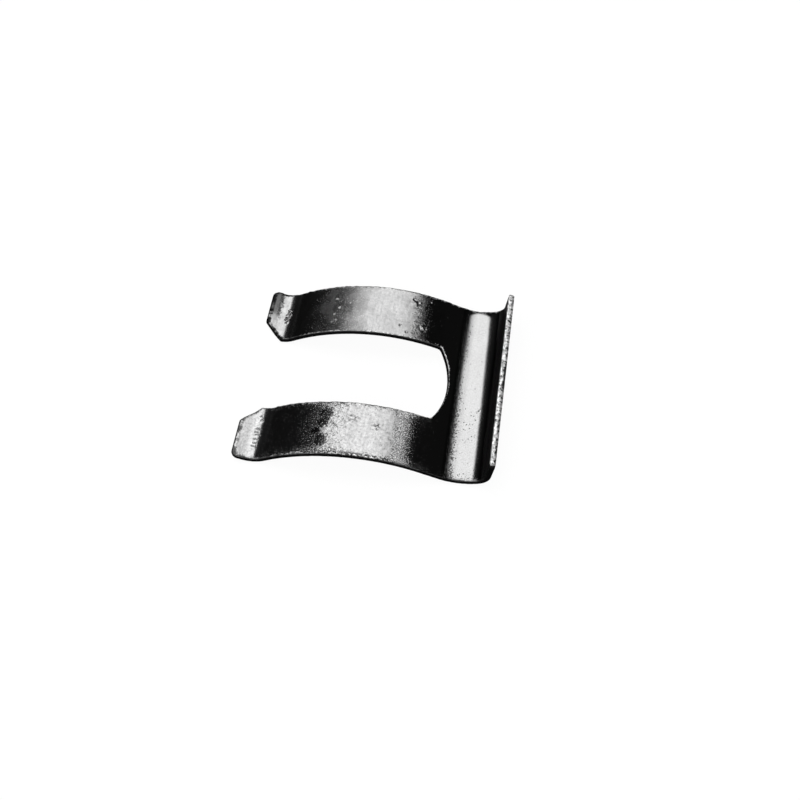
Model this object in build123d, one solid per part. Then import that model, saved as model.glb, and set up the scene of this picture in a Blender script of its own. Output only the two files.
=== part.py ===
from build123d import *
import os
from math import cos, radians, sin

# Push-on retaining clip, blanked from spring strip and bent as one piece.
# Millimetres. +X runs from the two tips to the flange, +Y across the legs and +Z up.
# The origin is the middle of the clip's footprint, on the surface that it lies on.

# Strip and blank
GAUGE = 0.8
WIDTH = 28.0
TIP_CORNER_RADIUS = 0.9
MOUTH_CORNER_RADIUS = 0.4
FLANGE_CORNER_RADIUS = 0.6
EDGE_BREAK = 0.08

# Slot between the legs, its depth measured along the flat blank from the tips
SLOT_WIDTH = 11.7
SLOT_DEPTH = 28.3
SLOT_END_RISE = 1.8
SLOT_CORNER_RADIUS = 0.5
MOUTH_CHAMFER = 2.6

# Side profile from the tips to the top of the flange, with radii to the sheet's middle
TIP_LENGTH = 1.6
TIP_ANGLE = 19.0
TIP_BEND_RADIUS = 3.4
RISE_ANGLE = 30.0
CROWN_RADIUS = 23.3
FALL_ANGLE = 24.0
TROUGH_RADIUS = 6.8
TROUGH_END_ANGLE = 19.0
HEEL_RADIUS = 2.1
FLANGE_ANGLE = 80.0
FLANGE_LENGTH = 3.0

# How far the cutters reach past the sheet
CUT_REACH = 15.0
CUT_OVERRUN = 32.0


def height_of_arc(radius, angle):
    """Height gained along an arc that turns by this angle from level."""
    return radius * (1 - cos(radians(angle)))


def ramp_length():
    """Straight run behind the crown that brings the trough down level with the tip bends."""
    climb = height_of_arc(TIP_BEND_RADIUS + CROWN_RADIUS, RISE_ANGLE)
    drop = height_of_arc(CROWN_RADIUS + TROUGH_RADIUS, FALL_ANGLE)
    return (climb - drop) / sin(radians(FALL_ANGLE))


def heading(angle):
    """Unit direction in the side view."""
    return Vector(cos(radians(angle)), sin(radians(angle)))


def side_line(offset):
    """The profile's edges in the side view, drawn this far above the sheet's middle."""
    runs = [
        (TIP_LENGTH, 0),
        (TIP_BEND_RADIUS, TIP_ANGLE + RISE_ANGLE),
        (CROWN_RADIUS, -RISE_ANGLE - FALL_ANGLE),
        (ramp_length(), 0),
        (TROUGH_RADIUS, FALL_ANGLE + TROUGH_END_ANGLE),
        (HEEL_RADIUS, FLANGE_ANGLE - TROUGH_END_ANGLE),
        (FLANGE_LENGTH, 0),
    ]
    angle = -TIP_ANGLE
    point = heading(angle + 90) * offset
    edges = []
    for size, turn in runs:
        if turn == 0:
            edge = Line(point, point + heading(angle) * size)
        elif turn > 0:
            edge = JernArc(point, heading(angle), size - offset, turn)
        else:
            edge = JernArc(point, heading(angle), size + offset, turn)
        edges.append(edge)
        point = edge @ 1
        angle += turn
    return edges


def bent_strip():
    """The strip at its full width, bent to the profile, with neither slot nor mouth."""
    upper = side_line(GAUGE / 2)
    lower = side_line(-GAUGE / 2)
    tip_end = Line(lower[0] @ 0, upper[0] @ 0)
    flange_top = Line(lower[-1] @ 1, upper[-1] @ 1)
    profile = make_face([*upper, *lower, tip_end, flange_top])
    return extrude(Plane.XZ * profile, WIDTH / 2, both=True)


def sheet_plane(distance):
    """Plane on the sheet's middle, this far along it from the tips, with X towards the flange."""
    for edge in side_line(0):
        if distance <= edge.length:
            break
        distance -= edge.length
    point = edge @ (distance / edge.length)
    along = edge % (distance / edge.length)
    return Plane(
        origin=(point.X, 0, point.Y),
        x_dir=(along.X, 0, along.Y),
        z_dir=(-along.Y, 0, along.X),
    )


def slot_cutter():
    """The slot with its bowed end, cut square through the ramp behind the crown."""
    half = SLOT_WIDTH / 2
    end = ThreePointArc((-SLOT_END_RISE, -half), (0, 0), (-SLOT_END_RISE, half))
    sides = Polyline(
        (-SLOT_END_RISE, half),
        (-CUT_OVERRUN, half),
        (-CUT_OVERRUN, -half),
        (-SLOT_END_RISE, -half),
    )
    outline = make_face([end, *sides.edges()])
    corners = outline.vertices().sort_by(Axis.X)[-2:]
    outline = fillet(corners, SLOT_CORNER_RADIUS)
    return extrude(sheet_plane(SLOT_DEPTH) * outline, CUT_REACH, both=True)


def mouth_cutter():
    """The flare that takes the inner corner off each tip, cut square through the tips."""
    half = SLOT_WIDTH / 2
    outline = Polyline(
        (MOUTH_CHAMFER, half),
        (-MOUTH_CHAMFER, half + 2 * MOUTH_CHAMFER),
        (-MOUTH_CHAMFER, -half - 2 * MOUTH_CHAMFER),
        (MOUTH_CHAMFER, -half),
        close=True,
    )
    return extrude(sheet_plane(0) * make_face(outline), CUT_REACH, both=True)


def edges_through(clip, from_x, to_x, from_y, to_y):
    """The short edges through the sheet between two lengths and two distances from the middle."""
    return [
        edge
        for edge in clip.edges()
        if abs(edge.length - GAUGE) < EDGE_BREAK
        and from_x < edge.center().X < to_x
        and from_y < abs(edge.center().Y) < to_y
    ]


def round_corners(clip):
    """Rounds the blank's corners at the tips, at the mouth and at the flange."""
    tips_end = 2 * MOUTH_CHAMFER
    outside = WIDTH / 2 - EDGE_BREAK
    mouth_side = SLOT_WIDTH / 2 - EDGE_BREAK
    clip = fillet(edges_through(clip, -1, tips_end, outside, WIDTH), TIP_CORNER_RADIUS)
    mouth = edges_through(clip, -1, tips_end, mouth_side, mouth_side + 2 * MOUTH_CHAMFER)
    clip = fillet(mouth, MOUTH_CORNER_RADIUS)
    return fillet(edges_through(clip, tips_end, WIDTH * 2, outside, WIDTH), FLANGE_CORNER_RADIUS)


def stand_on_origin(clip):
    """Moves the clip so that its footprint is centred on the origin and its lowest line is at zero."""
    box = clip.bounding_box()
    return clip.moved(Location((-box.center().X, -box.center().Y, -box.min.Z)))


clip = bent_strip() - slot_cutter() - mouth_cutter()
clip = round_corners(clip)
clip = fillet(clip.edges(), EDGE_BREAK)
clip = stand_on_origin(clip)

os.makedirs("parts", exist_ok=True)
export_step(clip, "parts/clip.step")
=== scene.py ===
# %% [markdown]
# # A push-on retaining clip in spring steel
#
# The real clip is one piece of thin spring strip. A press blanks a fork shape with two legs,
# bows the legs like a leaf spring, and turns up a short flange at the closed end. The legs slide
# over a groove, the bow takes up the play, and the flange is what a thumb pushes on.
#
# This lesson dresses the finished engineering model of that clip. It keeps the model's sizes,
# builds the sheet again as a fine mesh with sheared edges and knocks, gives it a worn dark steel
# finish, and lights it the way small shiny hardware is lit.

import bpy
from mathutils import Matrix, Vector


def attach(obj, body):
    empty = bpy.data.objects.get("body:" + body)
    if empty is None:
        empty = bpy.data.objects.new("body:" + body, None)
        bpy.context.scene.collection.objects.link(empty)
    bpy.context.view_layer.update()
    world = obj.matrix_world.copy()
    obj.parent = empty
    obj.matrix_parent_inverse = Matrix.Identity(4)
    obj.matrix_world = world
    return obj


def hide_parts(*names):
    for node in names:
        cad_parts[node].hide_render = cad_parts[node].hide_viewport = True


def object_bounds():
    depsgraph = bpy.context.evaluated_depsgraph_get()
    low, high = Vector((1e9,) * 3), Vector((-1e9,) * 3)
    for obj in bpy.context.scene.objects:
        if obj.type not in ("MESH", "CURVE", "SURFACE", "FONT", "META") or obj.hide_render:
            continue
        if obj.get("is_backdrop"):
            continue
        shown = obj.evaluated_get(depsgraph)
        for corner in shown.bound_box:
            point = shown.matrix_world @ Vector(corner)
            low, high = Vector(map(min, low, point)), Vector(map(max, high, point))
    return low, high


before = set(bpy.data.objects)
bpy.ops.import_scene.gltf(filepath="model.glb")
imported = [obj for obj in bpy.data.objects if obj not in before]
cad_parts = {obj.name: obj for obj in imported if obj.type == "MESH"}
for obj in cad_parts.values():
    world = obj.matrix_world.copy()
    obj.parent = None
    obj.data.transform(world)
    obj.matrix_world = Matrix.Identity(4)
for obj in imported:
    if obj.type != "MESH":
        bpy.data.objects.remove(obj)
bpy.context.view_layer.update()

# %% [markdown]
# ## Tools for the lesson
#
# Millimetres suit a clip this small, so every size below is in millimetres and turns into
# Blender's metres once, when the mesh is made. Numpy moves whole lists of points together, which
# keeps the shaping steps short.

# %% Libraries and units
from math import asin, ceil, cos, degrees, pi, radians, sin, tan

import bpy
import numpy as np
from mathutils import Matrix, Vector, noise
from mathutils.geometry import delaunay_2d_cdt
from mathutils.kdtree import KDTree

MILLIMETRE = 0.001
print("Blender", bpy.app.version_string, "with numpy", np.__version__)

# %% [markdown]
# ## The sheet and how it bends
#
# In the press the clip starts as a flat blank. A place on it takes three numbers: `along`, the
# distance from the tips towards the flange, `across`, from one leg to the other, and `up`, the
# height above the middle of the sheet. Bending turns `along` and `up` into a curve seen from the
# side, so edges, slots and dents can all be drawn flat and bent afterwards, as on the real clip.
#
# The side view is a chain of straight runs and arcs. Along it the heading of the sheet is level or
# changes evenly, so the whole bend is one broken line of headings, and adding up tiny steps in
# those headings gives the curve. The ramp is as long as it has to be for the tips and the trough
# to lie on the table together.

# %% Sizes of the strip and of its side view
GAUGE = 0.8
WIDTH = 28.0
TIP_LENGTH = 1.6
TIP_ANGLE = 19.0
TIP_BEND_RADIUS = 3.4
RISE_ANGLE = 30.0
CROWN_RADIUS = 23.3
FALL_ANGLE = 24.0
TROUGH_RADIUS = 6.8
TROUGH_END_ANGLE = 19.0
HEEL_RADIUS = 2.1
FLANGE_ANGLE = 80.0
FLANGE_LENGTH = 3.0


def height_of_arc(radius, angle):
    """How far an arc climbs while it turns from level to the angle."""
    return radius * (1 - cos(radians(angle)))


climb = height_of_arc(TIP_BEND_RADIUS + CROWN_RADIUS, RISE_ANGLE)
drop = height_of_arc(CROWN_RADIUS + TROUGH_RADIUS, FALL_ANGLE)
RAMP_LENGTH = (climb - drop) / sin(radians(FALL_ANGLE))
print(f"The ramp is {RAMP_LENGTH:.2f} mm long")

# %% The bend as a broken line of headings
CURVE_POINTS = 40001

# straight length or bend radius, then the turn in degrees
RUNS = [
    (TIP_LENGTH, 0),
    (TIP_BEND_RADIUS, TIP_ANGLE + RISE_ANGLE),
    (CROWN_RADIUS, -RISE_ANGLE - FALL_ANGLE),
    (RAMP_LENGTH, 0),
    (TROUGH_RADIUS, FALL_ANGLE + TROUGH_END_ANGLE),
    (HEEL_RADIUS, FLANGE_ANGLE - TROUGH_END_ANGLE),
    (FLANGE_LENGTH, 0),
]
lengths = [size * radians(abs(turn)) if turn else size for size, turn in RUNS]
run_ends = np.cumsum([0.0, *lengths])
run_headings = np.cumsum([-TIP_ANGLE, *(turn for size, turn in RUNS)])
BLANK_LENGTH = run_ends[-1]

steps = np.linspace(0, BLANK_LENGTH, CURVE_POINTS)
headings = np.radians(np.interp(steps, run_ends, run_headings))
middles = (headings[1:] + headings[:-1]) / 2
side_x = np.concatenate([[0], np.cumsum(np.cos(middles)) * steps[1]])
side_z = np.concatenate([[0], np.cumsum(np.sin(middles)) * steps[1]])
print(f"The flat blank is {BLANK_LENGTH:.2f} mm long; its runs end at", run_ends.round(2))


# %% Bending places and standing them on the table
def bend(places):
    """Turns flat places, given as along, across and up, into points of the bent clip."""
    along, across, up = places.T
    angle = np.interp(along, steps, headings)
    x = np.interp(along, steps, side_x) - up * np.sin(angle)
    z = np.interp(along, steps, side_z) + up * np.cos(angle)
    return np.stack([x, across, z], 1)


faces_of_sheet = [[s, 0, up] for s in steps[::20] for up in (-GAUGE / 2, GAUGE / 2)]
sheet_low = bend(np.array(faces_of_sheet)).min(0)
sheet_high = bend(np.array(faces_of_sheet)).max(0)
STAND = np.array([(sheet_low[0] + sheet_high[0]) / 2, 0, sheet_low[2]])
print("Length and height of the bent sheet:", (sheet_high - sheet_low)[[0, 2]].round(3))

# %% [markdown]
# ## The outline of the blank
#
# The blanking tool cuts one closed line: two legs with their inner corners taken off, so that the
# mouth finds the groove, and a slot whose end is bowed. A list of corners with a radius each says
# all of that, and one function rounds any corner, so every radius can be changed in one place. The
# bowed end is a run of short chords. The finished line is then divided evenly, because an edge
# that is bevelled later looks even only if its points are.

# %% Sizes of the outline
SLOT_WIDTH = 11.7
SLOT_DEPTH = 28.3
SLOT_END_RISE = 1.8
SLOT_CORNER_RADIUS = 0.5
MOUTH_CHAMFER = 2.6
TIP_CORNER_RADIUS = 0.9
MOUTH_CORNER_RADIUS = 0.45
FLANGE_CORNER_RADIUS = 0.6
print("Each leg is", (WIDTH - SLOT_WIDTH) / 2, "mm wide")


# %% The bowed end of the slot
def bowed_end(count):
    """Points along the end of the slot, from one corner over its deepest place to the other."""
    half = SLOT_WIDTH / 2
    radius = (half**2 + SLOT_END_RISE**2) / (2 * SLOT_END_RISE)
    swing = asin(half / radius)
    angles = np.linspace(swing, -swing, count)
    return [(SLOT_DEPTH - radius * (1 - cos(a)), radius * sin(a)) for a in angles]


half_slot, half_width = SLOT_WIDTH / 2, WIDTH / 2
slot_end = [(s, y, 0) for s, y in bowed_end(25)]
slot_end[0] = (*slot_end[0][:2], SLOT_CORNER_RADIUS)
slot_end[-1] = (*slot_end[-1][:2], SLOT_CORNER_RADIUS)
print("The end of the slot has", len(slot_end), "corners")

# %% List the corners
corners = [
    (0, half_width, TIP_CORNER_RADIUS),
    (0, half_slot + MOUTH_CHAMFER, MOUTH_CORNER_RADIUS),
    (MOUTH_CHAMFER, half_slot, MOUTH_CORNER_RADIUS),
    *slot_end,
    (MOUTH_CHAMFER, -half_slot, MOUTH_CORNER_RADIUS),
    (0, -half_slot - MOUTH_CHAMFER, MOUTH_CORNER_RADIUS),
    (0, -half_width, TIP_CORNER_RADIUS),
    (BLANK_LENGTH, -half_width, FLANGE_CORNER_RADIUS),
    (BLANK_LENGTH, half_width, FLANGE_CORNER_RADIUS),
]
print(len(corners), "corners in all")


# %% Round them
def rounded(corners):
    """A closed line through corners given as along, across and radius."""
    line = []
    for before, corner, after in zip(corners[-1:] + corners, corners, corners[1:] + corners[:1]):
        point, radius = Vector(corner[:2]), corner[2]
        if not radius:
            line.append(point)
            continue
        back = (Vector(before[:2]) - point).normalized()
        ahead = (Vector(after[:2]) - point).normalized()
        half = back.angle(ahead) / 2
        centre = point + (back + ahead).normalized() * radius / sin(half)
        spoke = point + back * radius / tan(half) - centre
        turn = (pi - 2 * half) * (1 if back.cross(ahead) < 0 else -1)
        count = ceil(abs(degrees(turn)) / 6)
        line += [centre + Matrix.Rotation(turn * k / count, 2) @ spoke for k in range(count + 1)]
    return np.array([tuple(point) for point in line])


smooth_line = rounded(corners)
print(len(smooth_line), "points round the rounded blank")

# %% Divide the line evenly
EDGE_STEP = 0.13
END_SHY = 0.005


def evenly(line, step):
    """The same closed line with points one step apart."""
    closed = np.concatenate([line, line[:1]])
    gone = np.concatenate([[0], np.cumsum(np.hypot(*np.diff(closed, axis=0).T))])
    places = np.linspace(0, gone[-1], round(gone[-1] / step), endpoint=False)
    return np.stack([np.interp(places, gone, closed[:, k]) for k in (0, 1)], 1)


outline = evenly(smooth_line, EDGE_STEP)
outline[:, 0] = np.minimum(outline[:, 0], BLANK_LENGTH - END_SHY)
ahead = np.roll(outline, -1, 0) - np.roll(outline, 1, 0)
ahead /= np.linalg.norm(ahead, axis=1, keepdims=True)
into_metal = np.stack([-ahead[:, 1], ahead[:, 0]], 1)
print(len(outline), "points round the blank")

# %% [markdown]
# ## Sheared edges
#
# A punch leaves its mark on every cut edge. The side that it enters is drawn down into a soft
# roll. Below that the wall is burnished smooth, and the last part breaks away rough and slightly
# undercut. On a shiny part the roll matters most: it turns through every angle, so it catches each
# lamp as a thin line. Rings of points, one under another, follow that section all the way round.
#
# Noise makes the roll wider here and narrower there, and roughens the broken part. It is fixed in
# space, so the clip gets the same scars each time. The tips have been knocked most, so their roll
# is widest. At the end of the slot it has stayed narrow.

# %% How worn the edge is at each of its points
LEAST_WEAR = 0.25
MOST_WEAR = 3


def uneven(places, size, seed):
    """Smooth noise from -1 to 1 over flat places, with lumps of about this size."""
    return np.array([noise.noise(Vector((p[0] / size, p[1] / size, seed))) for p in places])


outline_along, outline_across = outline.T
wear = 1 + 0.5 * uneven(outline, 2.2, 3.1) + 0.9 * uneven(outline, 0.42, 8.4)
ends_of_legs = np.clip(1 - outline_along / 0.7, 0, 1)
near_leg_and_far_side = np.abs(outline_across - 4) > 9
tip_sides = np.where(outline_across < 0, 0.1, 0.6) * np.clip((3.1 - outline_along) / 0.5, 0, 1)
bruised = ends_of_legs + 0.5 * near_leg_and_far_side + tip_sides
crisp = (outline_along > 26) & (outline_along < 30) & (outline_across < 2.5)
wear = np.clip(wear * (1 + 1.2 * bruised) * (1 - 0.7 * crisp), LEAST_WEAR, MOST_WEAR)
print("The roll is", wear.min().round(2), "to", wear.max().round(2), "times its plain width")

# %% Rings over the rolled edge
ROLL_REACH = 0.14
ROLL_DROP = 0.10
ROLL_TURNS = np.radians([0, 14, 28, 42, 56, 72, 90])


def ring(inset, up):
    """The outline moved into the metal and set at a height on the sheet."""
    flat = outline + into_metal * np.broadcast_to(inset, len(outline))[:, None]
    return np.column_stack([flat, np.broadcast_to(up, len(outline))])


# Painted shade: the roll's share of the wall mask grows as the roll turns down, so it stays dark
# where it would mirror the panel in front.
rings, sheared_and_shaded = [], []
for turn in ROLL_TURNS:
    inset = ROLL_REACH * wear * (1 - sin(turn))
    rings.append(ring(inset, GAUGE / 2 - ROLL_DROP * wear * (1 - cos(turn))))
    sheared_and_shaded.append(float(np.interp(degrees(turn), (20, 45, 80), (0.3, 0.6, 1.0))))
print(len(rings), "rings over the roll, and how sheared each is:", np.round(sheared_and_shaded, 2))

# %% Rings down the wall
WALL_SHARES = (0.2, 0.4, 0.58, 0.68, 0.8, 0.9, 1.0)
WALL_FRACTURE = 0.62
FRACTURE_UNDERCUT = 0.03
FRACTURE_TEETH = 0.02
LOWER_BREAK = 0.08

ragged = uneven(outline, 0.28, 5.7)
wall_top = rings[-1][:, 2]
wall_foot = -GAUGE / 2 + LOWER_BREAK
for share in WALL_SHARES:
    broken = np.clip((share - WALL_FRACTURE) / (1 - WALL_FRACTURE), 0, 1)
    teeth = FRACTURE_TEETH * broken * (1 + ragged * cos(9 * share))
    inset = FRACTURE_UNDERCUT * broken + teeth
    rings.append(ring(inset, wall_top + (wall_foot - wall_top) * share))
    sheared_and_shaded.append(1.0)
wall_inset = inset
for turn in np.radians([45, 90]):
    inset = wall_inset + LOWER_BREAK * (1 - cos(turn))
    rings.append(ring(inset, wall_foot - LOWER_BREAK * sin(turn)))
    sheared_and_shaded.append(float(turn < 1))
print(len(rings), "rings down the whole edge")

# %% [markdown]
# ## Dents, pits and nicks
#
# Loose clips rub against each other in a bin, and blackened steel also pits and blisters. The marks
# that are deep enough to bend a reflection belong in the mesh. Each is a small bowl with a raised
# rim, like metal that was pushed aside, and a blister is a bowl with a negative depth. A nick is a
# row of bowls. The finest pits and the grain come later, in the finish, where they cost no points.
#
# The sheet isn't flat between them either. It has slight waves, finer ones on the bows, a border
# drawn in at the end of the slot, and a droop at the far end of the trough.

# %% A list of the deeper marks
# along, across, radius and depth of each bowl
BOWLS = [
    (21.85, 11.9, 0.45, -0.045),
    (22.3, 12.1, 0.22, 0.080),
    (21.6, 12.6, 0.17, 0.050),
    (23.45, 8.1, 0.32, -0.060),
    (23.85, 7.9, 0.14, 0.060),
    (24.0, 12.75, 0.16, 0.025),
    (20.25, 7.7, 0.12, 0.065),
    (21.2, 6.7, 0.12, 0.065),
    (22.9, 10.4, 0.10, 0.016),
    (22.5, 6.9, 0.10, 0.018),
    (19.25, 10.3, 0.14, 0.008),
    (18.8, 9.7, 0.10, 0.007),
    (19.0, 10.7, 0.09, 0.008),
    (19.5, 9.9, 0.08, 0.012),
    (10.9, 11.65, 0.17, 0.050),
    (10.3, 12.0, 0.11, 0.035),
    (11.0, 8.9, 0.14, 0.040),
    (11.5, 10.0, 0.17, 0.050),
    (12.55, 9.05, 0.16, 0.040),
    (11.2, 7.85, 0.16, 0.008),
    (20.0, -9.15, 0.24, 0.014),
    (16.7, -8.6, 0.22, 0.010),
    (19.2, -11.3, 0.10, 0.012),
    (33.1, -3.1, 0.12, 0.05),
    (32.9, -3.4, 0.08, 0.03),
    (32.8, -4.55, 0.07, 0.025),
    (32.1, -5.2, 0.07, 0.02),
    (30.5, 4.8, 0.07, 0.02),
    (31.1, 4.55, 0.07, 0.02),
    (31.4, -7.8, 0.07, 0.02),
    (32.2, 0.5, 0.06, 0.02),
    (32.7, 5.05, 0.06, 0.02),
]
print(len(BOWLS), "single marks,", sum(depth < 0 for *_, depth in BOWLS), "of them blisters")

# %% Nicks from the press tool and from handling
TOOL_NICKS = [
    ((2.9, 10.5), (3.3, 10.95)),
    ((2.75, 9.15), (3.25, 9.7)),
    ((2.85, 8.7), (3.2, 9.1)),
    ((2.7, 10.15), (3.0, 10.25)),
    ((3.2, 10.0), (3.5, 10.3)),
]
NICK_RADIUS, NICK_DEPTH = 0.09, 0.06

# along, across and length of each scrape on the near leg
SCRAPES = [
    (2.6, -7.3, 0.5),
    (2.9, -7.9, 0.4),
    (2.5, -9.3, 0.8),
    (2.4, -9.8, 0.6),
    (2.6, -10.2, 0.8),
    (2.45, -10.9, 0.7),
    (2.5, -11.5, 0.6),
    (2.4, -12.0, 0.7),
]
SCRAPE_RADIUS, SCRAPE_DEPTH, SCRAPE_SLANT = 0.07, 0.026, 0.08


def row_of_bowls(start, end, radius, depth):
    """Bowls that run into each other from start to end, as one long nick."""
    start, end = np.array(start), np.array(end)
    count = max(2, round(np.hypot(*(end - start)) / (0.6 * radius)) + 1)
    return [(*(start + (end - start) * t), radius, depth) for t in np.linspace(0, 1, count)]


nicks = []
for start, end in TOOL_NICKS:
    nicks += row_of_bowls(start, end, NICK_RADIUS, NICK_DEPTH)
for along, across, reach in SCRAPES:
    far_end = (along + reach, across - SCRAPE_SLANT)
    nicks += row_of_bowls((along, across), far_end, SCRAPE_RADIUS, SCRAPE_DEPTH)
nicks += row_of_bowls((14.0, -9.25), (14.6, -9.7), 0.07, 0.016)
nicks += row_of_bowls((23.35, -11.5), (23.9, -11.75), 0.06, 0.014)
marks = np.array(BOWLS + nicks)
print(len(marks), "bowls in all, the deepest", marks[:, 3].max(), "mm")

# %% The sheet's waves
SHEET_WAVE = 0.006
FINE_WAVE = 0.0008
BOW_LUMPS = 0.003
FOOT_RIPPLES = (0.007, 0.004)


def smooth_step(low, high, values):
    """0 below low, 1 above high and a soft slope between them."""
    share = np.clip((values - low) / (high - low), 0, 1)
    return share * share * (3 - 2 * share)


def band(start, full, fade, end, values):
    """1 from full to fade, with soft slopes down to 0 at the start and at the end."""
    return smooth_step(start, full, values) * smooth_step(end, fade, values)


def waves(places):
    """How deep the sheet's own waves are at flat places."""
    along, across = places[:, 0], places[:, 1]
    depth = SHEET_WAVE * (1 + uneven(places, 3.5, 1.3)) + FINE_WAVE * uneven(places, 0.9, 4.2)
    lumpy = BOW_LUMPS * band(8, 11, 14, 19, along) * smooth_step(4, 7, across)
    depth += lumpy * uneven(places, 1.1, 7.9)
    ripples = np.where(across > 0, *FOOT_RIPPLES) * band(20.5, 22, 24.5, 26.5, along)
    return depth + ripples * uneven(places, 0.8, 5.5)


print("The edge waves by up to", waves(outline).max().round(4), "mm")

# %% The border of the slot and the droop at the far side
DRAWN_IN = 0.06
DROOP = 0.07


def border_drop(places):
    """How far the sheet's borders were drawn down by the press."""
    along, across = places[:, 0], places[:, 1]
    end_of_slot = SLOT_DEPTH - SLOT_END_RISE * (2 * across / SLOT_WIDTH) ** 2
    drawn_in = np.clip(1 - (along - end_of_slot) / 0.4, 0, 1) ** 2
    drawn_in *= along > end_of_slot - 0.3
    drawn_in *= band(0, 4, 5.9, 6.3, across)
    droop = np.clip((across - 12.8) / 1.2, 0, 1) ** 2 * smooth_step(26, 29, along)
    return DRAWN_IN * drawn_in + DROOP * droop


print("Its borders drop by up to", border_drop(outline).max().round(3), "mm")

# %% How deep the surface lies at any place
# the height is a share of a bowl's depth, and the others are shares of its radius
RIM_HEIGHT = 0.3
RIM_PLACE = 1.35
RIM_WIDTH = 0.35
BOWL_REACH = 2.5


def sunk(places):
    """Depth of the waves, the dents and the drawn borders at flat places."""
    depth = waves(places)
    crooked = 1 + 0.6 * uneven(places, 0.21, 2.6)
    for along, across, radius, deep in marks:
        away = np.hypot(places[:, 0] - along, places[:, 1] - across) / radius * crooked
        near = away < BOWL_REACH
        pit = np.exp(-1.6 * away[near] ** 2)
        raised_rim = RIM_HEIGHT * np.exp(-((away[near] - RIM_PLACE) / RIM_WIDTH) ** 2)
        depth[near] += deep * (pit - raised_rim)
    return depth + border_drop(places)


print("With the marks the edge is at most", sunk(outline).max().round(3), "mm deep")

# %% [markdown]
# ## Filling the two faces
#
# The top and the underside are filled with triangles between the innermost ring and a staggered
# grid of points. A constrained Delaunay triangulation does that: it accepts points anywhere, keeps
# the ring's edges, and makes triangles as even as the points allow. It fills the slot as well, so
# triangles whose middle isn't in the metal are dropped. The grid is coarse on the underside, finer
# on top, and densest round each dent, where small triangles are needed.

# %% A grid, and rings of points round the dents
TOP_STEP = 0.17
UNDER_STEP = 0.32

# radius as a share of the dent's own, and how many points
DENT_RINGS = [(0.3, 6), (0.6, 11), (0.9, 15), (1.2, 18), (1.55, 20), (2.0, 22)]


def staggered(step):
    """An even triangular grid of flat places over the blank's rectangle."""
    rows = np.arange(step, BLANK_LENGTH, step * sin(pi / 3))
    columns = np.arange(-half_width, half_width, step)
    return np.array([(s, y + step / 2 * (k % 2)) for k, s in enumerate(rows) for y in columns])


def rings_round(mark):
    """Small rings of places round one dent."""
    along, across, radius = mark[:3]
    places = [(along, across)]
    for share, count in DENT_RINGS:
        out = share * radius
        for angle in np.linspace(0, 2 * pi, count, endpoint=False) + share:
            places.append((along + out * cos(angle), across + out * sin(angle)))
    return np.array(places)


print(len(staggered(TOP_STEP)), "grid points, and", len(rings_round(marks[0])), "round each dent")


# %% Keep what lies in the metal and crowds nothing
def tree_of(places):
    """A search tree of flat places."""
    tree = KDTree(len(places))
    for index, place in enumerate(places):
        tree.insert((place[0], place[1], 0), index)
    tree.balance()
    return tree


def is_within(places, border, margin):
    """Whether each place lies inside the border by more than the margin."""
    tree = tree_of(border)
    nearest = [tree.find((place[0], place[1], 0))[1] for place in places]
    depth = ((places - border[nearest, :2]) * into_metal[nearest]).sum(1)
    return depth > margin


def within(places, border, margin):
    """The places that lie inside the border by more than the margin."""
    return places[is_within(places, border, margin)]


def thinned(places, others, gap):
    """The places that keep this gap from the others."""
    tree = tree_of(others)
    return np.array([p for p in places if tree.find((p[0], p[1], 0))[2] > gap])


slot_middle = np.array([[SLOT_DEPTH / 2, 0.0]])
print("The middle of the slot is in the metal:", is_within(slot_middle, outline, 0)[0])

# %% Points inside the blank, with a small dent's rings in place of a larger one's
DENT_MARGIN = 0.05
DENT_GAP = 0.09
DENT_CLEARING = 2.1

dent_places = np.zeros((0, 2))
for mark in marks[np.argsort(-marks[:, 2])]:
    clear = np.hypot(*(dent_places - mark[:2]).T) > DENT_CLEARING * mark[2]
    dent_places = np.concatenate([dent_places[clear], rings_round(mark)])
dent_places = within(dent_places, rings[0], DENT_MARGIN)
top_grid = within(staggered(TOP_STEP), rings[0], 0.6 * TOP_STEP)
top_places = np.concatenate([thinned(top_grid, dent_places, DENT_GAP), dent_places])
under_places = within(staggered(UNDER_STEP), rings[-1], 0.5 * UNDER_STEP)
print(len(top_places), "points on top,", len(under_places), "underneath")

# %% Triangulate both faces
WHOLE_HULL = 0
WELD_DISTANCE = 1e-7


def filled(border, places):
    """Triangles between a closed border and the places inside it, as indices into both."""
    flat = [Vector(p[:2]) for p in border] + [Vector(p) for p in places]
    count = len(border)
    edges = [(k, (k + 1) % count) for k in range(count)]
    made = delaunay_2d_cdt(flat, edges, [], WHOLE_HULL, WELD_DISTANCE, True)
    points, _, faces, origins = made[:4]
    middles = np.array([sum((points[c] for c in face), Vector((0, 0))) / 3 for face in faces])
    metal = is_within(middles, border, 0)
    return [[origins[c][0] for c in face] for face, kept in zip(faces, metal) if kept]


top_faces = filled(rings[0], top_places)
under_faces = filled(rings[-1], under_places)
print(len(top_faces), "triangles on top,", len(under_faces), "underneath")

# %% [markdown]
# ## One watertight mesh
#
# The rings, the two fills and the dents come together here. The waves and dents push the top face
# down, and fade out towards the underside, so that the walls follow them. Two things are stored on
# the points for the finish: the flat place that each came from, because grain and wear lie on the
# sheet and bend with it, and a mask for the cut wall. The finish paints that wall nearly black,
# partly as dark cut steel and partly as painted shade. Over the roll the mask grows as the roll
# turns down, so the roll is painted darker where it would mirror the panel in front. Round the tips
# that mask covers the roll as well, in patches, which darkens the roll there.

# %% Put the places together, sink them and bend them
ring_places = np.concatenate(rings)
top = np.column_stack([top_places, np.full(len(top_places), GAUGE / 2)])
under = np.column_stack([under_places, np.full(len(under_places), -GAUGE / 2)])
places = np.concatenate([ring_places, top, under])

share_of_dent = smooth_step(-GAUGE / 2, GAUGE / 2, places[:, 2])
sunken = places.copy()
sunken[:, 2] -= sunk(places) * share_of_dent
points = (bend(sunken) - STAND) * MILLIMETRE
print(len(points), "points, from", points.min(0).round(5), "to", points.max(0).round(5), "m")
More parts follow.
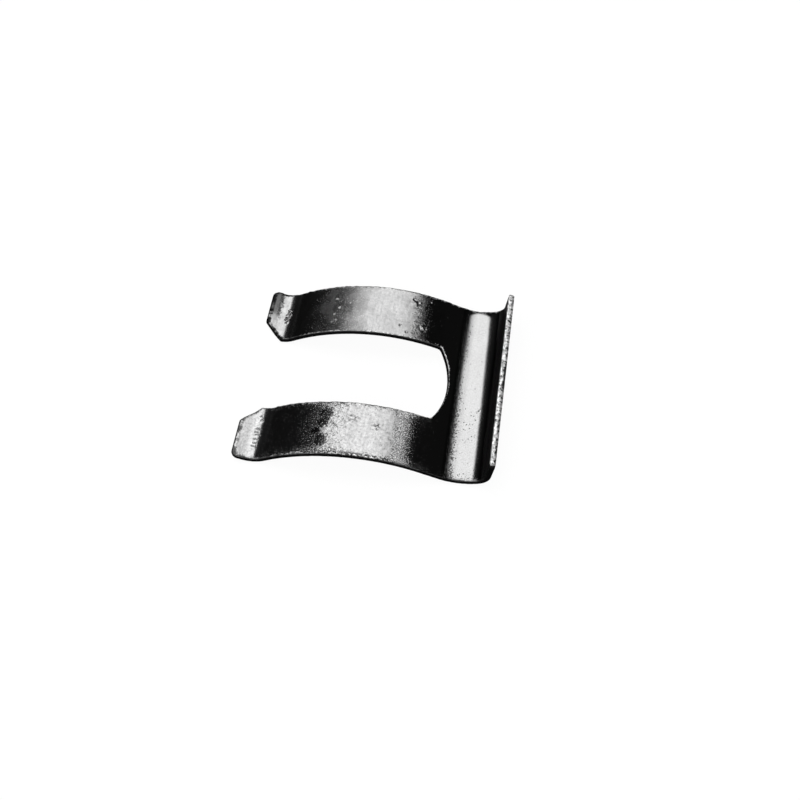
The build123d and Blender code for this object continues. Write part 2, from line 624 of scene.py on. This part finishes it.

# %% The mask of the cut wall, with its painted shade, and of the darkened roll round the tips
patchy = uneven(outline, 0.34, 12.4) + 1.5 * uneven(outline, 1.3, 6.2)
darkened_tip_roll = 0.45 + 0.55 * smooth_step(-0.4, 0.1, patchy)
darkened_tip_roll *= smooth_step(3.4, 2.9, outline_along) * np.where(outline_across < 0, 0.8, 1.0)
ring_mask = np.maximum.outer(sheared_and_shaded, darkened_tip_roll).ravel()
wall_mask = np.concatenate([ring_mask, np.zeros(len(top) + len(under))])
print("The mask is over a half on", (wall_mask > 0.5).sum(), "of the points")

# %% Join the faces
around = len(outline)
faces = []
for k in range(len(rings) - 1):
    low, high = (k + 1) * around, k * around
    for j in range(around):
        following = (j + 1) % around
        faces.append((high + j, low + j, low + following, high + following))
first_top = len(ring_places) - around
for face in top_faces:
    faces.append([c if c < around else c + first_top for c in face])
under_ring = (len(rings) - 1) * around
first_under = len(ring_places) + len(top) - around
for face in under_faces:
    faces.append([c + under_ring if c < around else c + first_under for c in reversed(face)])
print(len(faces), "faces, with four corners on the edge and three elsewhere")

# %% Make the mesh
mesh = bpy.data.meshes.new("spring_clip")
mesh.from_pydata(points.tolist(), [], faces)
mesh.shade_smooth()
clip = bpy.data.objects.new("spring_clip", mesh)
bpy.context.scene.collection.objects.link(clip)
print(len(mesh.vertices), "points and", len(mesh.loop_triangles), "triangles")

# %% Store the flat places and the wall mask
flat_places = mesh.attributes.new("blank", "FLOAT_VECTOR", "POINT")
flat_places.data.foreach_set("vector", places.astype(np.float32).ravel())
walls = mesh.attributes.new("sheared_and_shaded", "FLOAT", "POINT")
walls.data.foreach_set("value", wall_mask.astype(np.float32))
print("Normals point out:", mesh.polygons[-1].normal.z < 0)

# %% [markdown]
# ## Writing shader maths as sums
#
# Node trees for worn metal are mostly arithmetic: this mask times that noise, plus a little of
# another. Wrapping a socket in a small class lets Python's own signs add the nodes, so the tree
# can be read as a formula. Everything that isn't arithmetic comes from one `node` method, and the
# short methods under it only name its most usual calls.

# %% A socket that can be added and multiplied
class Value:
    """One output of a node tree. Sums on it add Math nodes."""

    def __init__(self, tree, socket):
        self.tree = tree
        self.socket = socket

    def maths(self, operation, first, second=0.0):
        return self.tree.node("Math", {"operation": operation}, {0: first, 1: second})

    def __add__(self, other):
        return self.maths("ADD", self, other)

    def __radd__(self, other):
        return self.maths("ADD", other, self)

    def __sub__(self, other):
        return self.maths("SUBTRACT", self, other)

    def __rsub__(self, other):
        return self.maths("SUBTRACT", other, self)

    def __mul__(self, other):
        return self.maths("MULTIPLY", self, other)

    def __rmul__(self, other):
        return self.maths("MULTIPLY", other, self)

    def __abs__(self):
        return self.maths("ABSOLUTE", self)


print("A value understands", [name for name, made in vars(Value).items() if callable(made)])


# %% A node tree with one way to add a node
class NodeTree:
    """The node tree of a material, a lamp or the world."""

    def __init__(self, owner):
        owner.use_nodes = True
        self.tree = owner.node_tree
        self.tree.nodes.clear()

    def node(self, kind, settings=None, sockets=None, output=0):
        """Adds a node, changes its settings, fills its sockets and gives one of its outputs."""
        made = self.tree.nodes.new("ShaderNode" + kind)
        for name, setting in (settings or {}).items():
            setattr(made, name, setting)
        for name, value in (sockets or {}).items():
            if isinstance(value, Value):
                self.tree.links.new(value.socket, made.inputs[name])
            else:
                made.inputs[name].default_value = value
        return Value(self, made.outputs[output]) if made.outputs else None

    def ease(self, low, high, value, to_low=0.0, to_high=1.0):
        """A soft step of a value, from to_low at low to to_high at high."""
        limits = {"Value": value, "From Min": low, "From Max": high}
        limits |= {"To Min": to_low, "To Max": to_high}
        return self.node("MapRange", {"interpolation_type": "SMOOTHSTEP"}, limits)

    def band(self, start, full, fade, end, value):
        """1 from full to fade, with soft steps down to 0 at the start and at the end."""
        return self.ease(start, full, value) * self.ease(end, fade, value)

    def noise(self, place, scale, detail=2.0):
        """Noise from 0 to 1 with a half in the middle, at lumps per millimetre."""
        sockets = {"Vector": place, "Scale": scale, "Detail": detail}
        return self.node("TexNoise", {"noise_dimensions": "3D"}, sockets)

    def vector(self, operation, sockets, output=0):
        """One step of vector arithmetic."""
        return self.node("VectorMath", {"operation": operation}, sockets, output)

    def part(self, vector, axis):
        """One of the three numbers in a vector, by its letter."""
        return self.node("SeparateXYZ", sockets={0: vector}, output=axis)

    def shade(self, level):
        """A neutral colour from one level."""
        return self.node("CombineColor", sockets={"Red": level, "Green": level, "Blue": level})


print("A tree has short names for", [name for name in vars(NodeTree) if name[0] != "_"])

# %% [markdown]
# ## The steel's finish
#
# The strip is dark, blackened spring steel with a polish left by rolling. Such a metal shows what
# stands round it far more than its own colour, so the finish is one metallic shader with a dark
# grey, and nearly all its character is in how the mirror is disturbed.
#
# A slight orange peel, a fine mist and faint drawing lines cover the whole strip. The near leg has
# stood in the damp: it is peppered with pits full of dark scale, with bright chips between them.
# The far leg is hazy from rubbing, has a few bare flecks, and is blistered at the foot of its bow.
# The trough has loose round pits, and the inside of the heel is rougher and painted darker, as
# painted shade in the bend. The cut walls are rough and painted nearly black, partly as dark cut
# steel and partly as painted shade, apart from the end of the flange: it was cut after blackening
# and shows bare, half polished and half torn steel.
#
# Each kind of wear is a mask over the flat blank, in its millimetres. Masks are multiplied where
# two conditions must hold and added where either is enough, and one formula each gives the colour,
# the roughness and the relief.

# %% The flat place of each point, and the parts of the clip
steel = bpy.data.materials.new("blackened_spring_steel")
paint = NodeTree(steel)
blank = paint.node("Attribute", {"attribute_name": "blank"}, output="Vector")
wall = paint.node("Attribute", {"attribute_name": "sheared_and_shaded"}, output="Fac")
along, across, height = (paint.part(blank, axis) for axis in "XYZ")

near_leg = paint.ease(-4.0, -6.0, across)
far_leg = paint.ease(4.0, 6.0, across)
on_legs = paint.band(2.5, 5.0, 26.0, 28.0, along)
bow = paint.ease(27.0, 25.0, along)
trough = paint.band(29.0, 30.0, 33.4, 34.2, along)
trough_ramp_side = paint.band(29.0, 29.6, 30.2, 31.0, along) * paint.ease(13.0, 10.0, across)
inside = paint.ease(-0.3, 0.1, height)
print("Nodes that say where a point lies:", len(paint.tree.nodes))

# %% [markdown]
# ## Ragged patches
#
# Scale and stains never end in a clean curve. Shifting the place by a coloured noise, before
# anything is measured from it, makes every border that is drawn there ragged. A blotch is then
# the distance to one spot, and small bare flecks are the same without the shift.

# %% A place with ragged edges
RAGGED_BY = 1.6

swirl = {"Vector": blank, "Scale": 2.4, "Detail": 4.0}
swirl_colour = paint.node("TexNoise", sockets=swirl, output="Color")
centred = paint.vector("SUBTRACT", {0: swirl_colour, 1: (0.5, 0.5, 0.5)})
shift = paint.vector("SCALE", {0: centred, "Scale": RAGGED_BY})
ragged_place = paint.vector("ADD", {0: blank, 1: shift})
ragged_along = paint.part(ragged_place, "X")
ragged_across = paint.part(ragged_place, "Y")


def spot(place, s, y, radius, core):
    """A mask that is 1 in its core round one flat place, and fades out to the radius."""
    distance = paint.vector("DISTANCE", {0: place, 1: (s, y, GAUGE / 2)}, output="Value")
    return paint.ease(radius, core * radius, distance)


def blotch(s, y, radius, core=0.6):
    """A spot with a ragged border."""
    return spot(ragged_place, s, y, radius, core)


print("Ragged borders wander by up to", RAGGED_BY / 2, "mm")

# %% Clumps of scale, smudges, flecks and the stained tip
clumps = blotch(12.8, -7.7, 1.25) + blotch(12.6, -9.0, 1.1) + blotch(12.75, -11.9, 1.15)
clumps = clumps + blotch(11.9, -10.5, 0.8)
smudges = blotch(12.5, 9.6, 1.8, 0.1) * 0.6 + blotch(19.7, -9.15, 0.9, 0.2) * 0.9
smudges = smudges + blotch(16.6, -8.3, 1.1, 0.2) * 0.8
tip_patch = paint.ease(1.75, 1.35, ragged_along) * paint.ease(8.0, 11.0, ragged_across)

# along, across and radius of each fleck
FLECKS = [
    (11.0, 11.65, 0.2),
    (11.5, 10.05, 0.26),
    (11.3, 7.9, 0.22),
    (10.7, 7.6, 0.2),
    (12.9, 10.9, 0.18),
    (7.6, 12.0, 0.14),
]
flecks = sum(spot(blank, s, y, radius, 0.4) for s, y, radius in FLECKS)
print("With the patches there are", len(paint.tree.nodes), "nodes")

# %% [markdown]
# ## Pits and chips
#
# Rust pits come in crowds, so one fine noise is cut off at a level, and that level drops where the
# steel is more pitted: the pits grow and touch. Bright chips are cut from a second noise in the
# same way. Rims rubbed bare are the thin line where the rolled edge turns down. The loose pits of
# the trough are rounder, so they are the middles of random cells, with a size drawn for each.

# %% How pitted each part is
pitted_band = paint.band(7.5, 12.5, 14.0, 17.0, along)
rust_band = paint.band(20.8, 22.8, 22.2, 25.8, along)
slot_border = paint.ease(-7.2, -6.0, across) * near_leg * paint.ease(28.0, 26.0, along)
borders = paint.ease(-12.4, -13.7, across) + slot_border
roughened = near_leg * (pitted_band * 0.6 + on_legs * 0.42)
roughened = roughened + rust_band * (far_leg * 0.9 + near_leg * 0.45 + 0.2)
pepper = roughened + trough_ramp_side + far_leg * 0.15 + borders * 0.6
pepper = pepper + trough * paint.ease(2.0, -6.0, across) * 0.4
print("With the bands and borders there are", len(paint.tree.nodes), "nodes")

# %% Peppered pits
CUT = 0.05

pit_level = 0.75 - pepper * 0.18
speckle_pits = paint.ease(pit_level, pit_level + CUT, paint.noise(blank, 6.5, 4.0))
print("With the peppered pits there are", len(paint.tree.nodes), "nodes")

# %% Bright chips, rubbed rims and flecks
hazy = paint.band(4.2, 9.0, 14.5, 17.5, along) * far_leg
flaking = near_leg * (pitted_band * 0.05 + paint.band(21.0, 23.0, 23.8, 26.2, along) * 0.15)
chip_level = 0.805 - (pepper * 0.13 + flaking + hazy * 0.16)
flakes = paint.noise(blank, 7.5, 3.0)
chips = paint.ease(chip_level, chip_level + CUT, flakes) * bow * (1 - wall)

rim_line = paint.band(0.08, 0.25, 0.4, 0.6, wall)
near_rim = paint.ease(-12.5, -13.2, across)
rubbed = rim_line * paint.ease(0.5, 0.6, paint.noise(blank, 3.6, 3.0))
rubbed = rubbed * paint.ease(5.0, 8.0, along) * (1 - near_rim * paint.ease(20.0, 23.0, along))
chips = chips * (1 - far_leg * 0.2) + rubbed
chips = chips + flecks * 0.55 * paint.ease(0.3, 0.55, flakes)
print("With the chips there are", len(paint.tree.nodes), "nodes")

# %% Loose round pits in the trough
LARGEST_PIT = 0.17

cells = {"Vector": blank, "Scale": 2.3}
cell_distance = paint.node("TexVoronoi", sockets=cells, output="Distance")
chance = paint.part(paint.node("TexVoronoi", sockets=cells, output="Color"), "X")
near_share = paint.ease(9.0, -6.0, across)
pit_size = paint.ease(1.0 - near_share * 0.45, 1.25 - near_share * 0.4, chance, 0.0, LARGEST_PIT)
round_pits = paint.ease(0.04, -0.03, cell_distance - pit_size) * trough
print("With the round pits there are", len(paint.tree.nodes), "nodes")

# %% [markdown]
# ## Fine relief
#
# These heights are in millimetres. Rolled strip isn't quite flat: the orange peel is three
# thousandths high, the grain under one. Pits are up to a fiftieth deep, and the torn walls are
# rougher still. One Bump node turns the sum into a tilt of the mirror.

# %% Heights in millimetres
PEEL = 0.003
GRAIN, COARSE_GRAIN = 0.0008, 0.0015
SPECKLE, RUST_PIT = 0.004, 0.009
ROUND_PIT = 0.02
CLUMP = 0.004
TEAR = 0.03

relief = paint.noise(blank, 2.6, 2.0) * PEEL
relief = relief + paint.noise(blank, 9.0, 2.0) * (GRAIN + roughened * COARSE_GRAIN)
relief = relief - speckle_pits * (SPECKLE + roughened * RUST_PIT)
relief = relief - round_pits * ROUND_PIT - clumps * CLUMP
relief = relief + paint.noise(blank, 7.0, 3.0) * wall * TEAR
bumped = paint.node("Bump", sockets={"Strength": 1.0, "Distance": MILLIMETRE, "Height": relief})
print("With the relief there are", len(paint.tree.nodes), "nodes")

# %% [markdown]
# ## The dark film
#
# Blackening leaves a thin film, and its thickness is what varies: in wide clouds, in stains that
# creep over the near leg, in a mist as fine as the eye can tell, and in faint lines combed along
# the bend by the tool. A metal's colour is how much of its surroundings it gives back, so each of
# them multiplies the grey.

# %% Clouds, stains, mist and combed lines
COMBED = (3.2, 0.6, 1.0)

clouds = paint.noise(blank, 0.45, 2.5)
stains = paint.noise(blank, 2.6, 5.0)
mist = paint.noise(blank, 7.0, 3.0) - 0.5
fog = paint.noise(blank, 2.2, 3.0) - 0.5
combed = paint.noise(paint.vector("MULTIPLY", {0: blank, 1: COMBED}), 1.0, 3.0) - 0.5
film = 1.0 - paint.ease(0.35, 0.75, clouds) * (far_leg * bow * 0.12 + 0.04)
film = film - paint.ease(0.42, 0.72, stains) * near_leg * bow * 0.25
misty = 0.6 - 0.4 * paint.ease(4.0, 3.0, along)
film = film * (1.0 + misty * mist + bow * (0.6 * fog + 0.6 * combed))
print("With the film there are", len(paint.tree.nodes), "nodes")

# %% Places that are duller or brighter than the rest
tips = paint.ease(3.4, 2.8, along)
tip_end = paint.ease(1.9, 1.5, along)
shine = (1 + 0.12 * tips) * (1 + 0.5 * tip_end) * (1 - 0.75 * tip_patch)
tip_streaks = paint.band(1.05, 1.3, 1.65, 1.85, ragged_along)
tip_streaks = tip_streaks * paint.ease(9.0, 10.5, ragged_across) * paint.ease(0.38, 0.46, stains)
near_fringe = paint.ease(-13.3, -13.65, across) * paint.band(11.0, 14.0, 22.0, 24.0, along)
near_fringe = near_fringe * paint.ease(0.41, 0.48, paint.noise(blank, 3.2, 3.0))
shine = shine * (1 - 0.65 * tip_streaks) * (1 - 0.85 * near_fringe)
shine = shine * (1 - 0.12 * far_leg * bow)
# Painted shade: the foot of the ramp is painted darker, with a ragged border.
ramp_painted_shade = paint.ease(29.75, 29.45, ragged_along) * paint.ease(28.8, 29.2, along)
worn_bright = paint.band(29.8, 30.1, 30.3, 30.9, along) * paint.ease(8.0, 3.0, across)
# Painted shade: the inside of the heel is painted darker, where the bend would mirror the white
# floor.
heel_painted_shade = paint.ease(33.9, 34.6, along) * inside
shine = shine * (1 - 0.45 * ramp_painted_shade) * (1 + 0.33 * worn_bright) * (1 - 0.8 * heel_painted_shade)
print("With the duller places there are", len(paint.tree.nodes), "nodes")

# %% [markdown]
# ## The bare end of the flange
#
# The flange was trimmed last. Its end face is bare steel, mottled where the punch polished it and
# torn and speckled lower down, with a burr near the middle. Its mask reaches over the rolled edge,
# further on the far side, where the trim left a wider shiny lip.

# %% Greys of the trimmed end
bare_lip = far_leg * 0.5 + 0.15
lip = paint.ease(BLANK_LENGTH - 0.02 - bare_lip, BLANK_LENGTH + 0.04 - bare_lip, along)
trimmed = paint.ease(BLANK_LENGTH - 0.3, BLANK_LENGTH - 0.2, along)
trimmed = trimmed + (lip - trimmed) * paint.ease(0.05, 0.25, wall)
grit = paint.noise(blank, 3.2, 5.0)
torn = paint.ease(0.1, -0.2, height + 0.5 * (grit - 0.5))
burred = paint.band(-2.5, -1.2, 1.8, 3.2, across)
speck_level = 0.585 - torn * (0.08 + 0.12 * burred)
specks = paint.ease(speck_level, speck_level + 0.04, paint.noise(blank, 2.8, 5.0))
mottle = paint.ease(0.38, 0.62, paint.noise(blank, 2.3, 5.0))
bare_grey = (0.74 - 0.42 * mottle) * (1 - 0.3 * torn) * (1 - 0.93 * specks)
print("With the trimmed end there are", len(paint.tree.nodes), "nodes")

# %% [markdown]
# ## One colour and one roughness
#
# The grey starts from the blackened face and is replaced, mask by mask: darker in pits, lighter on
# chips, nearly black on the cut walls, partly as dark cut steel and partly as painted shade, and
# bare at the trimmed end. The roughness follows the same masks. Polished strip is close to a
# mirror, rubbing and chips blur it, and scale dulls it.

# %% The grey
FACE_GREY = 0.165
CHIP_GREY = 0.5
# The walls' near black is partly dark cut steel and partly painted shade.
WALL_SHADE_GREY = 0.008

smudged = smudges * paint.ease(0.4, 0.58, stains)
dark_pits = round_pits * 0.85 + speckle_pits * 0.8 + clumps + smudged
grey = FACE_GREY * film * shine * paint.ease(1.0, 0.0, dark_pits, 0.08, 1.0)
grey = grey + (CHIP_GREY - grey) * chips
grey = grey + (WALL_SHADE_GREY - grey) * wall
grey = grey + (bare_grey - grey) * trimmed
print("With the grey there are", len(paint.tree.nodes), "nodes")

# %% The roughness
POLISHED = 0.05
WALL_ROUGH = 0.55

streaks = paint.noise(blank, 0.55, 1.0)
scuffing = paint.band(6.0, 10.0, 14.5, 17.5, along) * 0.05
scuffing = scuffing + hazy * paint.ease(0.3, 0.7, streaks, 0.10, 0.18)
scuffing = scuffing + paint.band(2.7, 3.2, 4.2, 5.5, along) * 0.12
rough = POLISHED + 0.04 * clouds + scuffing + round_pits * 0.15 + chips * 0.35
rough = rough + paint.ease(34.4, 35.2, along) * inside * 0.4
rough = rough + paint.band(33.0, 33.6, 34.2, 35.0, along) * 0.04
rough = rough + (WALL_ROUGH - rough) * paint.ease(0.0, 1.0, wall + trimmed)
print("With the roughness there are", len(paint.tree.nodes), "nodes")

# %% [markdown]
# ## The shader itself
#
# A metal needs little more: it is wholly metallic, with the grey as its colour. Metals brighten
# towards white at a glance. A dark Specular Tint holds that back, as the thick film does on the
# real steel, and keeps the steep flange dark.

# %% One metallic shader
DARK_TINT = (0.2, 0.2, 0.2, 1.0)

looks = {"Base Color": paint.shade(grey), "Roughness": rough, "Normal": bumped}
looks |= {"Metallic": 1.0, "Specular Tint": DARK_TINT}
shader = paint.node("BsdfPrincipled", sockets=looks)
paint.node("OutputMaterial", sockets={"Surface": shader})
mesh.materials.append(steel)
print("The steel has", len(paint.tree.nodes), "nodes")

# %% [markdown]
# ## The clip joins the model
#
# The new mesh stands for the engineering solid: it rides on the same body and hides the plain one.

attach(clip, "root")
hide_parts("clip")
print("The clip's box in millimetres:", [round(1000 * v, 2) for v in clip.dimensions])

# %% [markdown]
# ## The floor
#
# Small hardware is usually shown on white, lit so that the ground all but disappears. The floor
# here is a wide sheet of white paper that turns up gently far away, like the cove of a studio.
# Its colour does most of the work. The camera and mirror rays also see a share of plain white
# from it, and the rest stays paper, so that the clip still casts its soft shadow.

# %% A round paper floor with a raised rim
# in metres
FLOOR_FLAT = 0.9
FLOOR_REACH = 1.6
FLOOR_RIM = 0.2
FLOOR_RINGS = 32
FLOOR_SIDES = 96

made, sides = [(0, 0, 0)], []
for k in range(1, FLOOR_RINGS + 1):
    out = FLOOR_REACH * (k / FLOOR_RINGS)
    rise = FLOOR_RIM * max(0, (out - FLOOR_FLAT) / (FLOOR_REACH - FLOOR_FLAT)) ** 2
    first = 1 + (k - 1) * FLOOR_SIDES
    for j in range(FLOOR_SIDES):
        angle = 2 * pi * j / FLOOR_SIDES
        made.append((out * cos(angle), out * sin(angle), rise))
        here, there = first + j, first + (j + 1) % FLOOR_SIDES
        inner = (0,) if k == 1 else (there - FLOOR_SIDES, here - FLOOR_SIDES)
        sides.append((here, there, *inner))
print("The floor has", len(sides), "faces and rises to", round(rise, 2), "m")

# %% Lay it down
shape = bpy.data.meshes.new("paper_floor")
shape.from_pydata(made, [], sides)
shape.shade_smooth()
floor = bpy.data.objects.new("paper_floor", shape)
bpy.context.scene.collection.objects.link(floor)
floor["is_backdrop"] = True
print("It is", round(floor.dimensions.x, 2), "m across")

# %% White paper
FLOOR_WHITE = 0.94
PAPER_SHADES = (0.89, 0.91)
FIBRES_PER_METRE = 40.0
WHITE = (1, 1, 1, 1)


def mirror_rays(tree):
    """1 for what polished metal and glass show, and 0 for other light."""
    glossy = tree.node("LightPath", output="Is Glossy Ray")
    return glossy + tree.node("LightPath", output="Is Transmission Ray")


paper = bpy.data.materials.new("white_paper")
sheet = NodeTree(paper)
fibres = sheet.noise(sheet.node("TexCoord", output="Object"), FIBRES_PER_METRE)
tint = sheet.ease(0.3, 0.7, fibres, *PAPER_SHADES)
matt = sheet.node("BsdfDiffuse", sockets={"Color": sheet.shade(tint)})
plain = sheet.node("Emission", sockets={"Color": WHITE, "Strength": 1.0})
seen = sheet.node("LightPath", output="Is Camera Ray") + mirror_rays(sheet)
mixed = sheet.node("MixShader", sockets={0: seen * FLOOR_WHITE, 1: matt, 2: plain})
sheet.node("OutputMaterial", sockets={"Surface": mixed})
floor.data.materials.append(paper)
print("The paper has", len(sheet.tree.nodes), "nodes")

# %% [markdown]
# ## Light
#
# A shiny bend is drawn by what it mirrors. One large softbox stands behind and above the clip and
# gives the broad white bands on the legs, the tips and the trough. A smaller one in front on the
# left runs a thin line along the near edges. A dim panel in front does what a white card does: seen
# from behind, the legs would be black without it. Together they light the paper at about the level
# at which a colour looks as written.
#
# The room gives next to no light, which keeps the blacks. Where the paper ends, the camera sees
# plain white, and so does the steel low down in front and behind. To the left and the right the
# steel mirrors the dark room instead, as if black cards stood there: they draw the dark bands
# between the white ones.
#
# A real softbox is brightest in its middle and fades at its rim. Each lamp gets that from the
# place on its own face.

# %% The light over a lamp's face
# as shares of the face
GLOW_MIDDLE = (0.47, 0.42, 0)
GLOW_CORE, GLOW_END = 0.45, 0.55


def fade_lamp(lamp, fades):
    """Dims the lamp towards its left, right, front and back side over these shares of its face."""
    light = NodeTree(lamp)
    place = light.node("NewGeometry", output="Parametric")
    left, right, front, back = fades
    glow = light.band(0, left, 1 - right, 1, light.part(place, "X"))
    glow = glow * light.band(0, front, 1 - back, 1, light.part(place, "Y"))
    from_middle = light.vector("DISTANCE", {0: place, 1: GLOW_MIDDLE}, output="Value")
    glow = glow * light.ease(GLOW_END, GLOW_CORE, from_middle)
    emitted = light.node("Emission", sockets={"Strength": glow})
    light.node("OutputLight", sockets={"Surface": emitted})
    return len(light.tree.nodes)


# %% A softbox that covers a range of directions
def direction(sideways, backwards):
    """Unit direction from the clip: sideways towards +X, then backwards towards +Y, in degrees."""
    swing, lean = radians(sideways), radians(backwards)
    return Vector((sin(swing) * cos(lean), sin(lean), cos(swing) * cos(lean)))


def softbox(name, sides, backs, fades, radiance, distance=1.0):
    """An area lamp over a range of directions, with a fade on each of its four sides."""
    middle = direction(sum(sides) / 2, sum(backs) / 2)
    lamp = bpy.data.lights.new(name, "AREA")
    lamp.shape = "RECTANGLE"
    lamp.size = 2 * distance * tan(radians(sides[1] - sides[0]) / 2)
    lamp.size_y = 2 * distance * tan(radians(backs[1] - backs[0]) / 2)
    lamp.energy = radiance * pi * lamp.size * lamp.size_y
    placed = bpy.data.objects.new(name, lamp)
    left = Vector((0, 1, 0)).cross(middle).normalized()
    turned = Matrix((left, middle.cross(left), middle)).transposed()
    placed.matrix_world = Matrix.Translation(middle * distance) @ turned.to_4x4()
    bpy.context.scene.collection.objects.link(placed)
    nodes = fade_lamp(lamp, fades)
    width, depth = round(lamp.size, 2), round(lamp.size_y, 2)
    print(f"{name} is {width} by {depth} m, {lamp.energy:.2f} W, {nodes} nodes")


softbox("softbox_behind", (-30, 30.5), (-4, 50), (0.053, 0.46, 0.1, 0.14), 4.8)
softbox("softbox_left", (-60, -25), (-24, 12), (0.1, 0.1, 0.1, 0.1), 2.5)
softbox("panel_in_front", (-60, 60), (-74, -30), (0.25, 0.25, 0.3, 0.25), 2.6)

# %% The dark room
world = bpy.data.worlds.new("dark_room")
bpy.context.scene.world = world
room = NodeTree(world)
sky = room.node("TexCoord", output="Generated")
sideways = room.part(sky, "X")
low_down = room.ease(0.35, 0.2, room.part(sky, "Z"))
in_front_or_behind = room.ease(0.7, 0.5, abs(sideways))
dim = room.ease(-0.25, -0.75, sideways, 0.022, 0.032)
mirrored = mirror_rays(room) * low_down * in_front_or_behind
lit = room.node("LightPath", output="Is Camera Ray") + mirrored
shown = {"Color": WHITE, "Strength": dim + lit * (1 - dim)}
room.node("OutputWorld", sockets={"Surface": room.node("Background", sockets=shown)})
print("The room has", len(room.tree.nodes), "nodes")

# %% [markdown]
# ## The camera
#
# The camera stands in front and to the right, 56 degrees above the table, close enough for the
# near leg to look slightly larger, and rolled by a few degrees.

# %% Where the camera stands
# degrees first, then millimetres
CAMERA_TURN = 11.97
CAMERA_HEIGHT = 56.28
CAMERA_ROLL = -4.41
CAMERA_DISTANCE = 145.86
AIM = Vector((0, 0, 2.0))
SLIDE_RIGHT = 2.98
SLIDE_UP = -3.30

turn, rise, roll = radians(CAMERA_TURN), radians(CAMERA_HEIGHT), radians(CAMERA_ROLL)
away = Vector((sin(turn) * cos(rise), -cos(turn) * cos(rise), sin(rise)))
right = Vector((cos(turn), sin(turn), 0))
upward = away.cross(right)
eye = AIM + away * CAMERA_DISTANCE + right * SLIDE_RIGHT + upward * SLIDE_UP
rolled_right = right * cos(roll) + upward * sin(roll)
rolled_up = upward * cos(roll) - right * sin(roll)
print("It stands at", [round(v, 1) for v in eye], "mm")

# %% Aim it
FOCAL_LENGTH = 48.13
SENSOR_WIDTH = 36.0

camera = bpy.data.objects.new("camera", bpy.data.cameras.new("camera"))
camera.data.sensor_width = SENSOR_WIDTH
camera.data.lens = FOCAL_LENGTH
camera.data.clip_start = 0.01
camera.data.clip_end = 10.0
facing = Matrix((rolled_right, rolled_up, away)).transposed()
camera.matrix_world = Matrix.Translation(eye * MILLIMETRE) @ facing.to_4x4()
bpy.context.scene.collection.objects.link(camera)
bpy.context.scene.camera = camera
bpy.context.scene.view_settings.view_transform = "Standard"
print("It sees", round(degrees(camera.data.angle), 1), "degrees")

# %% [markdown]
# ## Measure and finish
#
# The dressed clip's box is printed. The dressed clip must not be larger than the engineering
# model.

# %% Print the dressed clip's box
low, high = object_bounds()
print("The dressed clip in millimetres:", [round(1000 * v, 2) for v in high - low])
